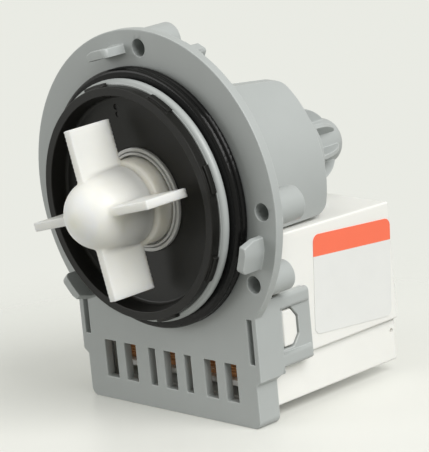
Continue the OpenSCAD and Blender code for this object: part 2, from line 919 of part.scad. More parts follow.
module lead_wires() {
    touch_y = coil_back_y + lead_gap;
    root_y = block_front_y - lead_gap;
    link_z = -21;
    link_x = leg_x - core_half_x + core_corner_r;
    lead_x = 9;
    color(lead_tan) {
        lead([[-link_x, touch_y, link_z], [-link_x, lead_y, link_z], [link_x, lead_y, link_z],
            [link_x, touch_y, link_z]]);
        lead([[lead_x, root_y, blade_z], [lead_x, lead_y, blade_z], [leg_x, lead_y, cutout_z],
            [leg_x, touch_y, cutout_z]]);
        lead([[-lead_x, root_y, blade_z], [-lead_x, lead_y, blade_z],
            [-lead_x, lead_y, cutout_z - cutout_size[2] / 2 - lead_gap]]);
    }
}

module blade_slot(gap) {
    block([blade_x - blade_t / 2 - gap, blade_x + blade_t / 2 + gap],
        [blade_root_y - gap, blade_end_y + eps], [blade_z - blade_h / 2 - gap, blade_z + blade_h / 2 + gap]);
}

module terminal_block() {
    color(white) difference() {
        block([-plinth_half_w, plinth_half_w], [block_front_y, cover_back_y - cover_wall],
            [blade_z - plinth_half_h, blade_z + plinth_half_h]);
        both_sides() blade_slot(seat_gap);
    }
}

module terminal_blade() {
    z0 = blade_z - blade_h / 2;
    z1 = blade_z + blade_h / 2;
    color(brass) difference() {
        along_x(blade_x - blade_t / 2, blade_x + blade_t / 2)
            polygon([[blade_root_y, z0], [blade_end_y - blade_tip, z0], [blade_end_y, z0 + blade_tip],
                [blade_end_y, z1 - blade_tip], [blade_end_y - blade_tip, z1], [blade_root_y, z1]]);
        translate([blade_x - blade_t, blade_end_y - blade_hole_back, blade_z])
            rotate([0, 90, 0]) cylinder(r = blade_hole_r, h = 2 * blade_t);
    }
}

module terminal_right() {
    terminal_blade();
}

module terminal_left() {
    mirror([1, 0, 0]) terminal_blade();
}

// Coil cover and label

module cover_side(shrink, front) {
    polygon([[front, cover_step_z - shrink], [cover_back_y - shrink, cover_step_z - shrink],
        [cover_back_y - shrink, cover_top_back - shrink], [front, cover_top_front - shrink]]);
}

module cover_low(shrink, front, top) {
    block([shrink - cover_low_half_w, cover_low_half_w - shrink], [front, cover_back_y - shrink],
        [cover_bottom + shrink, top]);
}

module coil_cover() {
    saddle_r = can_r + saddle_gap;
    inside_y = cover_front_y - eps;
    window_y = stack_end_y + 2 * window_gap;
    color(white) difference() {
        union() {
            difference() {
                union() {
                    along_x(-cover_half_w, cover_half_w) cover_side(0, cover_front_y);
                    cover_low(0, cover_front_y, cover_step_z + eps);
                }
                along_x(cover_wall - cover_half_w, cover_half_w - cover_wall)
                    cover_side(cover_wall, inside_y);
                cover_low(cover_wall, inside_y, cover_step_z);
            }
            intersection() {
                rod(saddle_r + cover_wall, window_y, cover_back_y);
                along_x(-cover_half_w, cover_half_w) cover_side(0, cover_front_y);
            }
            block([-plinth_half_w, plinth_half_w], [cover_back_y - cover_wall, cover_back_y + plinth_t],
                [blade_z - plinth_half_h, blade_z + plinth_half_h]);
            both_sides() along_x(cover_half_w - cover_wall / 2, cover_half_w + nub_h) snap_hole(nub_gap);
        }
        rod(saddle_r, cover_front_y, cover_back_y + eps);
        block([-pole_window, pole_window], [inside_y, window_y], [-pole_bottom - cover_wall, eps]);
        block([-flange_r, flange_r], [inside_y, cover_shoulder_y], [cover_shoulder_z, eps]);
        both_sides() blade_slot(seat_gap);
        both_sides() translate([cover_low_half_w - cover_wall - eps, pin_hole_y, pin_hole_z])
            rotate([0, 90, 0]) cylinder(r = pin_hole_r, h = cover_wall + 2 * eps);
    }
}

module rating_label() {
    color(white) translate([cover_half_w, label_y, label_z]) rotate([label_tilt, 0, 0])
        translate([0, -label_len / 2, -label_h / 2]) cube([label_t, label_len, label_h]);
}

pump_body();
front_plate();
bearing_cap();
seal_ring();
impeller();
clutch_cover();
drive_dog();
shaft();
rotor_magnet();
rotor_sleeve();
front_thrust_washer();
rear_thrust_washer();
shaft_seal();
front_bush();
front_bush_holder();
bush_retainer();
rear_bush();
rear_bush_holder();
stator_pole_left();
stator_pole_right();
stator_yoke();
bobbin_left();
bobbin_right();
coil_core_left();
coil_core_right();
winding_left();
winding_right();
thermal_cutout();
lead_wires();
terminal_block();
terminal_left();
terminal_right();
coil_cover();
rating_label();
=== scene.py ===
"""Washer drain pump: its looks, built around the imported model.

Lengths are in metres in the model's own frame: the shaft lies on the Y axis with
the impeller towards -Y, and Z is up.
"""

import math

import bmesh
import bpy
import numpy as np
from bpy.props import FloatProperty, FloatVectorProperty, IntProperty, PointerProperty
from mathutils import Matrix, Quaternion, Vector
from mathutils.geometry import intersect_point_line
from mathutils.kdtree import KDTree


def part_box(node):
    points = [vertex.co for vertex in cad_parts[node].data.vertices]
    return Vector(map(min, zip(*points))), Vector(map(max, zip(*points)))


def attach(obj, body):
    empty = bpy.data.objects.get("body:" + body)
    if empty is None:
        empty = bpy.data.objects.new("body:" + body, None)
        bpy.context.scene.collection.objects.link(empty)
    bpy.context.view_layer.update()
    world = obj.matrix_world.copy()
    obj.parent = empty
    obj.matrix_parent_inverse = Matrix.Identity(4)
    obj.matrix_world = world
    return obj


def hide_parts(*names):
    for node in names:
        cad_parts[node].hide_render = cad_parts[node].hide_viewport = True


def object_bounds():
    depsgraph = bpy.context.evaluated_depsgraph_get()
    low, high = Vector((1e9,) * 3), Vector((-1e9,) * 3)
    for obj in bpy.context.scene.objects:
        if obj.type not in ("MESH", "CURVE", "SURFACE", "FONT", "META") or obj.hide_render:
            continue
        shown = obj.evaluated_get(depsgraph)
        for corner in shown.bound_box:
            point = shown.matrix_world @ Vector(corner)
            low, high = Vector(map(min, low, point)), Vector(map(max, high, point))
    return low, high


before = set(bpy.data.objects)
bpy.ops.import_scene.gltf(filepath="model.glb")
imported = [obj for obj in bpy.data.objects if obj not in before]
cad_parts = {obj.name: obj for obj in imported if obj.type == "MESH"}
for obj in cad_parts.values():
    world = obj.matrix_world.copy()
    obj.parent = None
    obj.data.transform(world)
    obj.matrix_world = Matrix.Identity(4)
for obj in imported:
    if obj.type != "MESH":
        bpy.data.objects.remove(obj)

# The model's box, before anything is added to it
CAD_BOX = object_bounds()

bl_info = {
    "name": "Washer Drain Pump",
    "version": (1, 0, 0),
    "blender": (4, 5, 0),
    "location": "View3D > Sidebar > Pump",
    "description": "Builds the looks of a washer drain pump around its packed model",
    "category": "Add Mesh",
}

MM = 0.001

# Welding, and the angles at which faces count as one flat, sharp, smooth or folded
WELD = 0.002 * MM
FLAT = math.radians(0.4)
SHARP = math.radians(28)
SMOOTH = math.radians(40)
FOLD = math.radians(140)

# How far round an edge a fold counts as its own, in widths of the round
FOLD_REACH = 1.5

# How nearly a face has to look along the axis, as a cosine, and the pull of large faces on normals
AXIAL = 0.99
FLAT_PULL = 80

# Steps in a round, and the shortest edge of the cover that is rounded
ROUND_STEPS = 2
COVER_ROUND_STEPS = 3
COVER_LEAST_EDGE = 1 * MM

# How wide the paler edges run along sharp edges, which are painted highlights and wear, and the tones
# of dust and rust
EDGE_WEAR_AND_HIGHLIGHT_REACH = 0.4 * MM
DUST_TONE = (0.4, 0.39, 0.37)
RUST_TONE = (0.16, 0.1, 0.06)

# Tones on the impeller: the tip's reach, then ranges from the axis and along it; along the axis the
# hub and the skirt take painted shade
NOSE_REACH = 5.5 * MM
HUB_EDGE = (9.4 * MM, 10.4 * MM)
HUB_SHADE = (-25 * MM, -10.5 * MM)
SKIRT_EDGE = (-9.2 * MM, -8.2 * MM)

# Where the vanes' roots are filled in, from the axis and along it, and the share of each round
ROOTS_ACROSS = (7.4 * MM, 12 * MM)
ROOTS_ALONG = (-22.5 * MM, -9.8 * MM)
ROOT_SHARE = 0.8

# Thickness of the stator's sheets, corners of the coils and tilt of the label
SHEET = 0.5 * MM
COIL_CORNER = 3 * MM
COIL_CORNER_STEPS = 5
LABEL_TILT = math.radians(-5)
LABEL_CORNER_STEPS = 8

# The floor's radius and the distance over which it fades, and each lamp's place, aim and size
FLOOR_RADIUS = 6
FLOOR_FADE = (0.05, 0.16)
SIDE_LAMP = ((0.77, -0.02, 0.65), (0, 0.01, 0), 0.8)
LEFT_LAMP = ((-0.66, -0.72, 0.22), (0, 0, 0), 0.6)
TOP_LAMP = ((-0.1, -0.15, 0.98), (0, 0, 0), 0.7)


def length(name, description, millimetres):
    """A length that is set in the sidebar."""
    return FloatProperty(
        name=name, description=description, default=millimetres * MM, unit="LENGTH", precision=5
    )


def colour(name, description, red, green, blue):
    """A colour that is set in the sidebar."""
    return FloatVectorProperty(
        name=name, description=description, default=(red, green, blue), subtype="COLOR", min=0, max=1
    )


class PumpSizes(bpy.types.PropertyGroup):
    """Sizes of the rounded edges and of the pieces made here."""

    body_round: length("Body edges", "Round on the edges of the grey body", 0.22)
    plate_round: length("Plate edges", "Round on the edges of the front plate", 0.18)
    cover_round: length("Cover edges", "Round on the long edges of the coil cover", 0.55)
    small_round: length("Small edges", "Round on the edges of small pieces", 0.12)
    impeller_voxel: length("Impeller grid", "Grid that the impeller's soft shape is made on", 0.25)
    impeller_relax: IntProperty(
        name="Impeller relax", description="Rounds of smoothing over the impeller", default=2, min=0
    )
    root_fill: IntProperty(
        name="Vane roots", description="Rounds of filling in the corners at the vanes' roots",
        default=40, min=0
    )
    wire: length("Wire", "Diameter of the winding wire", 0.7)
    wire_pitch: length("Wire pitch", "Step of the winding wire between turns", 0.745)
    label_corner: length("Label corner", "Round on the corners of the label", 1.9)
    band_height: length("Label band", "Height of the coloured band on the label", 5.4)


class PumpColours(bpy.types.PropertyGroup):
    """Colours of the finishes."""

    body: colour("Body", "Grey of the body", 0.418, 0.44, 0.431)
    cap: colour("Bearing cap", "Grey of the bearing cap", 0.6, 0.6, 0.58)
    plate: colour("Front plate", "Black of the front plate", 0.0075, 0.0072, 0.0062)
    rubber: colour("Rubber", "Black of the seals", 0.005, 0.005, 0.0048)
    impeller: colour("Impeller", "Milky white of the vanes", 0.82, 0.815, 0.765)
    impeller_core: colour("Impeller core", "Milky white of the hub", 0.98, 0.97, 0.91)
    impeller_nose: colour("Impeller nose", "Warm tone at the tip of the hub", 0.97, 0.89, 0.77)
    # Painted shade on the hub, for the dark clutch seen through the plastic
    impeller_hub_shade: colour("Impeller hub", "Grey of the hub over the clutch", 0.46, 0.46, 0.44)
    # Beige of the skirt with painted shade, as it lies in shade behind the hub
    impeller_skirt_beige_and_shade: colour("Impeller skirt", "Beige of the hub's skirt", 0.78, 0.75, 0.66)
    cover: colour("Cover", "White of the cover and bobbins", 0.89, 0.885, 0.84)
    band: colour("Label band", "Red of the label's band", 0.98, 0.172, 0.082)
    film: colour("Label film", "White of the label", 0.815, 0.82, 0.795)
    copper: colour("Copper", "Varnished copper of the windings", 0.9, 0.4, 0.17)
    brass: colour("Brass", "Tinned brass of the terminals", 0.66, 0.55, 0.3)
    bronze: colour("Bronze", "Sintered bronze of the bushes", 0.32, 0.2, 0.09)
    steel: colour("Steel", "Ground steel of the shaft", 0.5, 0.51, 0.53)
    sheet_steel: colour("Sheet steel", "Stacked steel of the stator", 0.3, 0.31, 0.32)
    ferrite: colour("Ferrite", "Dark grey of the magnet", 0.045, 0.045, 0.05)
    lead: colour("Leads", "Tan sleeve of the leads", 0.55, 0.42, 0.24)
    floor: colour("Floor", "Pale floor", 0.9, 0.9, 0.85)
    sky: colour("Background", "Pale tone behind the pump", 0.82, 0.83, 0.775)
    bounce: colour("Floor bounce", "Tone in which the floor lights the pump", 0.55, 0.55, 0.53)


class PumpStage(bpy.types.PropertyGroup):
    """Camera and lights."""

    camera_place: FloatVectorProperty(
        name="Camera", description="Place of the camera", default=(0.54393, -0.50267, 0.18009),
        subtype="TRANSLATION", unit="LENGTH"
    )
    camera_aim: FloatVectorProperty(
        name="Aim", description="Point that the camera looks at", default=(0.00285, 0.01675, -0.01131),
        subtype="TRANSLATION", unit="LENGTH"
    )
    camera_roll: FloatProperty(
        name="Roll", description="Turn of the camera about its view", default=math.radians(-5.51),
        subtype="ANGLE"
    )
    lens: FloatProperty(name="Lens", description="Focal length in millimetres", default=251.8)
    side_light: FloatProperty(
        name="Side light", description="Power of the soft light on the right", default=10.2,
        subtype="POWER"
    )
    left_light: FloatProperty(
        name="Left light", description="Power of the soft light on the left", default=3.0,
        subtype="POWER"
    )
    top_light: FloatProperty(
        name="Top light", description="Power of the soft light overhead", default=1.1,
        subtype="POWER"
    )
    world: FloatProperty(
        name="Surroundings", description="Strength of the light from all round", default=0.32
    )


def sizes():
    """The sizes set in the sidebar."""
    return bpy.context.scene.pump_sizes


def colours():
    """The colours set in the sidebar."""
    return bpy.context.scene.pump_colours


# Shader nodes


def add_node(tree, kind, values=None, **settings):
    """Adds a node with its settings, and values for its sockets by name."""
    made = tree.nodes.new(kind)
    for key, value in settings.items():
        setattr(made, key, value)
    for key, value in (values or {}).items():
        made.inputs[key].default_value = value
    return made


def mix_colours(tree, factor, first, second):
    """Mixes two colours, each a socket or a plain colour, and returns the result's socket."""
    mix = add_node(tree, "ShaderNodeMix", data_type="RGBA")
    tree.links.new(factor, mix.inputs[0])
    for socket, value in ((mix.inputs[6], first), (mix.inputs[7], second)):
        if isinstance(value, bpy.types.NodeSocket):
            tree.links.new(value, socket)
        else:
            socket.default_value = (*value, 1)
    return mix.outputs[2]


def spread(tree, value, low, high, to_low, to_high):
    """Maps a value from one range to another and returns the result's socket."""
    made = add_node(
        tree, "ShaderNodeMapRange",
        {"From Min": low, "From Max": high, "To Min": to_low, "To Max": to_high},
    )
    tree.links.new(value, made.inputs["Value"])
    return made.outputs["Result"]


def maths(tree, operation, first, second):
    """A Math node on two sockets or numbers; returns the result's socket."""
    made = add_node(tree, "ShaderNodeMath", operation=operation)
    for socket, value in zip(made.inputs, (first, second)):
        if isinstance(value, bpy.types.NodeSocket):
            tree.links.new(value, socket)
        else:
            socket.default_value = value
    return made.outputs[0]


def noise(tree, vector, scale, detail=2.0, roughness=0.5):
    """A noise texture; its scale is a socket or a number."""
    made = add_node(tree, "ShaderNodeTexNoise", {"Detail": detail, "Roughness": roughness})
    tree.links.new(vector, made.inputs["Vector"])
    if isinstance(scale, bpy.types.NodeSocket):
        tree.links.new(scale, made.inputs["Scale"])
    else:
        made.inputs["Scale"].default_value = scale
    return made.outputs["Fac"]


def new_group(name, inputs, outputs):
    """An empty shader node group with number sockets; returns the tree and its two ends."""
    tree = bpy.data.node_groups.new(name, "ShaderNodeTree")
    for label, default in inputs.items():
        socket = tree.interface.new_socket(label, in_out="INPUT", socket_type="NodeSocketFloat")
        socket.default_value = default
    for label in outputs:
        tree.interface.new_socket(label, in_out="OUTPUT", socket_type="NodeSocketFloat")
    return tree, add_node(tree, "NodeGroupInput"), add_node(tree, "NodeGroupOutput")


def moulded_grain_group():
    """Fine mould texture, broad flow marks and short scuffs of a moulded surface."""
    name = "moulded_grain"
    if name in bpy.data.node_groups:
        return bpy.data.node_groups[name]
    tree, enter, leave = new_group(
        name, {"Grain Scale": 3000, "Flow Scale": 90}, ("Grain", "Flow", "Scuff")
    )
    place = add_node(tree, "ShaderNodeTexCoord").outputs["Object"]
    tree.links.new(noise(tree, place, enter.outputs["Grain Scale"], 3), leave.inputs["Grain"])
    tree.links.new(noise(tree, place, enter.outputs["Flow Scale"], 4, 0.6), leave.inputs["Flow"])
    turned = add_node(
        tree, "ShaderNodeMapping", {"Rotation": (0.4, 0.9, 0.3), "Scale": (1, 9, 2)}
    )
    tree.links.new(place, turned.inputs["Vector"])
    streaks = noise(tree, turned.outputs["Vector"], 260, 3, 0.65)
    tree.links.new(spread(tree, streaks, 0.62, 0.72, 0, 1), leave.inputs["Scuff"])
    return tree


def edge_wear_and_highlight_group():
    """A mask of sharp edges, broken up so that it is uneven; the paler edges that it gives are painted
    highlights and wear.
    """
    name = "worn_edges"
    if name in bpy.data.node_groups:
        return bpy.data.node_groups[name]
    tree, enter, leave = new_group(name, {"Break Scale": 400}, ("Edge",))
    place = add_node(tree, "ShaderNodeTexCoord").outputs["Object"]
    along = add_node(tree, "ShaderNodeVectorMath", operation="DOT_PRODUCT")
    softened = add_node(tree, "ShaderNodeBevel", {"Radius": EDGE_WEAR_AND_HIGHLIGHT_REACH})
    tree.links.new(softened.outputs["Normal"], along.inputs[0])
    tree.links.new(add_node(tree, "ShaderNodeNewGeometry").outputs["Normal"], along.inputs[1])
    edge = spread(tree, along.outputs["Value"], 0.99, 0.85, 0, 1)
    patches = spread(tree, noise(tree, place, enter.outputs["Break Scale"], 3), 0.3, 0.6, 0.4, 1)
    tree.links.new(maths(tree, "MULTIPLY", edge, patches), leave.inputs["Edge"])
    return tree


def dust_group():
    """A mask of fine dust on faces that look up."""
    name = "settled_dust"
    if name in bpy.data.node_groups:
        return bpy.data.node_groups[name]
    tree, enter, leave = new_group(name, {"Speck Scale": 2200}, ("Dust",))
    place = add_node(tree, "ShaderNodeTexCoord").outputs["Object"]
    up = add_node(tree, "ShaderNodeSeparateXYZ")
    tree.links.new(add_node(tree, "ShaderNodeNewGeometry").outputs["Normal"], up.inputs[0])
    facing = spread(tree, up.outputs["Z"], -0.1, 0.9, 0.15, 1)
    specks = spread(tree, noise(tree, place, enter.outputs["Speck Scale"], 4), 0.62, 0.75, 0, 1)
    tree.links.new(maths(tree, "MULTIPLY", facing, specks), leave.inputs["Dust"])
    return tree


def new_material(name):
    """An empty material; returns it, its tree and its Principled shader."""
    material = bpy.data.materials.new(name)
    material.use_nodes = True
    tree = material.node_tree
    return material, tree, tree.nodes["Principled BSDF"]


def use_group(tree, group, **values):
    """Places a node group; values are by socket name with spaces as underscores."""
    made = add_node(tree, "ShaderNodeGroup", node_tree=group)
    for key, value in values.items():
        made.inputs[key.replace("_", " ")].default_value = value
    return made


def bump(tree, shader, height, depth, strength=1.0):
    """Feeds a height to the shader's normal, for a relief of the given depth."""
    made = add_node(tree, "ShaderNodeBump", {"Distance": depth, "Strength": strength})
    tree.links.new(height, made.inputs["Height"])
    tree.links.new(made.outputs["Normal"], shader.inputs["Normal"])


def shaded(tone, share):
    """A colour made darker or lighter by a share."""
    return tuple(min(1.0, c * share) for c in tone)


def moulded_plastic(
    name, tone, rough=(0.38, 0.5), grain=2600, depth=0.012 * MM, flow=0.08, wear=1.18, dust=0.0,
    tint=None, subsurface=0.0, depth_of_light=2.5 * MM, shine=0.5
):
    """Moulded plastic: fine grain, flow marks, scuffs, paler edges that are painted highlights and
    wear, and dust where it is given.

    tint takes the tree and the base colour's socket, and returns the socket to use instead.
    """
    material, tree, shader = new_material(name)
    grained = use_group(tree, moulded_grain_group(), Grain_Scale=grain)
    base = mix_colours(
        tree, grained.outputs["Flow"], shaded(tone, 1 - flow), shaded(tone, 1 + flow)
    )
    edges = use_group(tree, edge_wear_and_highlight_group())
    # Paler sharp edges: painted highlights along the edges, with some wear
    base = mix_colours(tree, edges.outputs["Edge"], base, shaded(tone, wear))
    if dust:
        specks = use_group(tree, dust_group())
        base = mix_colours(
            tree, maths(tree, "MULTIPLY", specks.outputs["Dust"], dust), base, DUST_TONE
        )
    if tint:
        base = tint(tree, base)
    tree.links.new(base, shader.inputs["Base Color"])
    uneven = maths(
        tree, "ADD", grained.outputs["Flow"], maths(tree, "MULTIPLY", grained.outputs["Scuff"], 0.5)
    )
    tree.links.new(spread(tree, uneven, 0.3, 1.0, *rough), shader.inputs["Roughness"])
    bump(tree, shader, grained.outputs["Grain"], depth)
    shader.inputs["Specular IOR Level"].default_value = shine
    if subsurface:
        shader.inputs["Subsurface Weight"].default_value = subsurface
        shader.inputs["Subsurface Radius"].default_value = (1.0, 0.95, 0.85)
        shader.inputs["Subsurface Scale"].default_value = depth_of_light
    return material


def metal(name, tone, rough, scale, stretch=(1, 1, 1), depth=0.004 * MM, metallic=1.0):
    """Metal with a fine directional grain; stretch is the grain's squeeze along each axis."""
    material, tree, shader = new_material(name)
    place = add_node(tree, "ShaderNodeTexCoord").outputs["Object"]
    squeezed = add_node(tree, "ShaderNodeMapping", {"Scale": stretch})
    tree.links.new(place, squeezed.inputs["Vector"])
    grain = noise(tree, squeezed.outputs["Vector"], scale, 4, 0.6)
    stain = noise(tree, place, 120, 3)
    tree.links.new(
        mix_colours(tree, stain, shaded(tone, 0.82), shaded(tone, 1.12)), shader.inputs["Base Color"]
    )
    tree.links.new(spread(tree, grain, 0.3, 0.7, *rough), shader.inputs["Roughness"])
    bump(tree, shader, grain, depth)
    shader.inputs["Metallic"].default_value = metallic
    return material


def shared(name, make):
    """The material of that name, made the first time that it is asked for."""
    return bpy.data.materials.get(name) or make()


def shared_plastic(name, tone, **finish):
    """A moulded plastic, made the first time that it is asked for."""
    return shared(name, lambda: moulded_plastic(name, tone, **finish))


def grey_body():
    """The body's grey plastic, with painted highlights along its edges."""
    # The strong edge lift paints highlight lines along the rounded edges
    return shared_plastic(
        "grey_body_plastic", colours().body, rough=(0.34, 0.48), flow=0.04, wear=1.7
    )


def pale_cap():
    """The bearing cap's pale grey plastic."""
    return shared_plastic(
        "pale_cap_plastic", colours().cap, rough=(0.3, 0.42), flow=0.04, subsurface=0.2
    )


def black_plastic():
    """The front plate's black plastic, with a little dust and painted glints along its edges."""
    # The strong edge lift paints glints along the edges of the teeth
    return shared_plastic(
        "black_plate_plastic", colours().plate, rough=(0.32, 0.45), grain=2200, depth=0.01 * MM,
        flow=0.2, wear=3, dust=0.05, shine=0.22
    )


def white_plastic():
    """The cover's white plastic."""
    return shared_plastic(
        "white_cover_plastic", colours().cover, rough=(0.4, 0.52), flow=0.025, wear=1.05,
        subsurface=0.15
    )


def seal_rubber():
    """The seals' black rubber, with a little dust and painted glints along its edges."""
    # The strong edge lift paints glints along the ridges
    return shared_plastic(
        "soft_seal_rubber", colours().rubber, rough=(0.2, 0.34), grain=1600, depth=0.01 * MM,
        flow=0.18, wear=2.5, dust=0.03, shine=0.16
    )


def lead_sleeve():
    """The leads' tan sleeve."""
    return shared_plastic("lead_sleeve", colours().lead, flow=0.15)


def milky_plastic():
    """The impeller's plastic: warm at the tip, with painted shade on the hub over the clutch inside,
    and beige with painted shade at the skirt.
    """

    def tint(tree, base):
        place = add_node(tree, "ShaderNodeTexCoord").outputs["Object"]
        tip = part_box("impeller")[0].y
        centred = add_node(
            tree, "ShaderNodeMapping",
            {"Location": (0, -tip / NOSE_REACH, 0), "Scale": (1 / NOSE_REACH,) * 3},
        )
        tree.links.new(place, centred.inputs["Vector"])
        ball = add_node(tree, "ShaderNodeTexGradient", gradient_type="SPHERICAL")
        tree.links.new(centred.outputs["Vector"], ball.inputs["Vector"])
        nose = spread(tree, ball.outputs["Fac"], 0, 0.9, 0, 0.75)
        along = add_node(tree, "ShaderNodeSeparateXYZ")
        tree.links.new(place, along.inputs[0])
        right, up = (maths(tree, "POWER", along.outputs[axis], 2) for axis in "XZ")
        across = maths(tree, "SQRT", maths(tree, "ADD", right, up), 0)
        inside = spread(tree, across, *HUB_EDGE, 1, 0)
        # Painted shade: the hub greys towards the rear, for the dark clutch seen through it and to dim
        # its lit middle
        hub = maths(tree, "MULTIPLY", inside, spread(tree, along.outputs["Y"], *HUB_SHADE, 0, 1))
        # Beige with painted shade on the skirt behind the hub
        skirt = spread(tree, along.outputs["Y"], *SKIRT_EDGE, 0, 1)
        base = mix_colours(tree, inside, base, colours().impeller_core)
        base = mix_colours(tree, nose, base, colours().impeller_nose)
        base = mix_colours(tree, hub, base, colours().impeller_hub_shade)
        return mix_colours(tree, skirt, base, colours().impeller_skirt_beige_and_shade)

    return shared_plastic(
        "milky_impeller_plastic", colours().impeller, rough=(0.4, 0.54), grain=1800, flow=0.03,
        wear=1.06, tint=tint, subsurface=1.0, depth_of_light=4.5 * MM
    )


def stacked_steel():
    """Thin steel sheets seen edge on, with dark joints between them along the shaft."""

    def make():
        material, tree, shader = new_material("stacked_steel")
        place = add_node(tree, "ShaderNodeTexCoord").outputs["Object"]
        sheets = add_node(
            tree, "ShaderNodeTexWave", {"Scale": 2 * math.pi / 20 / SHEET, "Distortion": 0.4},
            bands_direction="Y",
        )
        tree.links.new(place, sheets.inputs["Vector"])
        rust = spread(tree, noise(tree, place, 260, 4), 0.5, 0.75, 0, 0.5)
        tone = colours().sheet_steel
        base = mix_colours(tree, sheets.outputs["Fac"], shaded(tone, 0.45), shaded(tone, 1.1))
        base = mix_colours(tree, rust, base, RUST_TONE)
        tree.links.new(base, shader.inputs["Base Color"])
        sheen = spread(tree, sheets.outputs["Fac"], 0, 1, 0.6, 0.36)
        tree.links.new(sheen, shader.inputs["Roughness"])
        bump(tree, shader, sheets.outputs["Fac"], 0.03 * MM)
        shader.inputs["Metallic"].default_value = 0.85
        return material

    return shared("stacked_steel", make)


def varnished_copper():
    """Copper wire under varnish, darker where the varnish has run."""

    def make():
        material, tree, shader = new_material("varnished_copper")
        place = add_node(tree, "ShaderNodeTexCoord").outputs["Object"]
        runs = noise(tree, place, 330, 4, 0.62)
        tone = colours().copper
        base = mix_colours(tree, runs, shaded(tone, 0.6), shaded(tone, 1.3))
        tree.links.new(base, shader.inputs["Base Color"])
        tree.links.new(spread(tree, runs, 0.3, 0.7, 0.42, 0.24), shader.inputs["Roughness"])
        bump(tree, shader, runs, 0.02 * MM)
        shader.inputs["Coat Weight"].default_value = 0.35
        return material

    return shared("varnished_copper", make)


def printed_film(name, tone):
    """Printed label film: slight waves from the glue, and tiny gaps in the print."""

    def make():
        material, tree, shader = new_material(name)
        place = add_node(tree, "ShaderNodeTexCoord").outputs["Object"]
        gaps = spread(tree, noise(tree, place, 5200, 2), 0.66, 0.76, 0, 0.5)
        base = mix_colours(tree, noise(tree, place, 140, 2), shaded(tone, 0.97), shaded(tone, 1.03))
        base = mix_colours(tree, gaps, base, shaded(tone, 1.12))
        tree.links.new(base, shader.inputs["Base Color"])
        sheen = spread(tree, noise(tree, place, 420, 3), 0.3, 0.7, 0.3, 0.42)
        tree.links.new(sheen, shader.inputs["Roughness"])
        bump(tree, shader, noise(tree, place, 190, 2), 0.05 * MM, 0.5)
        shader.inputs["Coat Weight"].default_value = 0.2
        return material

    return shared(name, make)


# Pieces


def add_piece(name, mesh, materials, body, slot, *nodes):
    """Makes a mesh into a piece on a body, in place of the given model nodes. Its slot is not used."""
    piece = bpy.data.objects.new(name, mesh)
    bpy.context.scene.collection.objects.link(piece)
    for material in materials:
        mesh.materials.append(material)
    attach(piece, body)
    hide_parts(*nodes)
    return piece


def any_face(face):
    """Picks every face."""
    return True


def faces_along_axis(face):
    """Picks the faces that look along the pump's axis."""
    return abs(face.normal.y) > AXIAL


def merged_copy(node, split=None):
    """A copy of a model node as one welded bmesh, with each flat area in as few faces as possible.

    The flat areas that split picks are cut up until none has a hollow, which a round might close over.
    """
    bm = bmesh.new()
    bm.from_mesh(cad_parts[node].data)
    bmesh.ops.remove_doubles(bm, verts=bm.verts, dist=WELD)
    bmesh.ops.dissolve_limit(bm, angle_limit=FLAT, verts=bm.verts, edges=bm.edges)
    if split:
        bmesh.ops.connect_verts_concave(bm, faces=[face for face in bm.faces if split(face)])
    return bm


def sharp_edges(bm, least=0.0):
    """Edges between faces at a sharp angle that are at least so long."""
    return [
        e for e in bm.edges
        if e.is_manifold and e.calc_face_angle() > SHARP and e.calc_length() >= least
    ]


def from_segment(point, first, last):
    """Distance of a point from the line between two others."""
    share = intersect_point_line(point, first, last)[1]
    return (first.lerp(last, min(1, max(0, share))) - point).length


def round_edges(bm, edges, width, segments):
    """Rounds edges, apart from those whose round would fold over its neighbours.

    The bmesh is used up, and the rounded one is returned.
    """
    bm.edges.index_update()
    chosen = [(e.index, e.verts[0].co.copy(), e.verts[1].co.copy()) for e in edges]
    reach = FOLD_REACH * width
    while True:
        rounded = bm.copy()
        rounded.edges.ensure_lookup_table()
        bmesh.ops.bevel(
            rounded, geom=[rounded.edges[i] for i, _, _ in chosen], offset=width, offset_type="OFFSET",
            segments=segments, profile=0.5, affect="EDGES", clamp_overlap=False, material=-1,
        )
        folded = [e for e in rounded.edges if not e.is_manifold or e.calc_face_angle() > FOLD]
        folds = KDTree(len(folded))
        for i, e in enumerate(folded):
            folds.insert((e.verts[0].co + e.verts[1].co) / 2, i)
        folds.balance()
        kept = []
        for edge in chosen:
            _, first, last = edge
            around = folds.find_range((first + last) / 2, (last - first).length / 2 + reach)
            if all(from_segment(fold, first, last) > reach for fold, _, _ in around):
                kept.append(edge)
        if len(kept) == len(chosen):
            bm.free()
            return rounded
        chosen = kept
        rounded.free()


def finished_mesh(bm, name):
    """A smooth-shaded mesh from a bmesh, which is freed."""
    mesh = bpy.data.meshes.new(name)
    bm.to_mesh(mesh)
    bm.free()
    mesh.shade_smooth()
    mesh.set_sharp_from_angle(angle=SMOOTH)
    return mesh


def weight_normals(piece):
    """Keeps flat faces flat where they meet rounded edges."""
    weighted = piece.modifiers.new("Flat faces", "WEIGHTED_NORMAL")
    weighted.keep_sharp = True
    weighted.weight = FLAT_PULL


def rounded_piece(node, name, material, slot, width, segments=ROUND_STEPS, least=0.0, split=None):
    """A copy of a model node on the body, in its place, with its sharp edges rounded."""
    bm = merged_copy(node, split)
    bm = round_edges(bm, sharp_edges(bm, least), width, segments)
    piece = add_piece(name, finished_mesh(bm, name), [material], "body", slot, node)
    weight_normals(piece)


def dress(node, material):
    """Gives a model node its finish."""
    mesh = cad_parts[node].data
    mesh.materials.clear()
    mesh.materials.append(material)


class PUMP_OT_body(bpy.types.Operator):
    """Builds the grey body and the bearing cap with rounded edges"""

    bl_idname = "pump.body"
    bl_label = "Body"

    def execute(self, context):
        rounded_piece(
            "pump_body", "body_moulding", grey_body(), "body_plastic", sizes().body_round,
            split=any_face
        )
        rounded_piece(
            "bearing_cap", "bearing_cap_moulding", pale_cap(), "cap_plastic", sizes().plate_round
        )
        return {"FINISHED"}


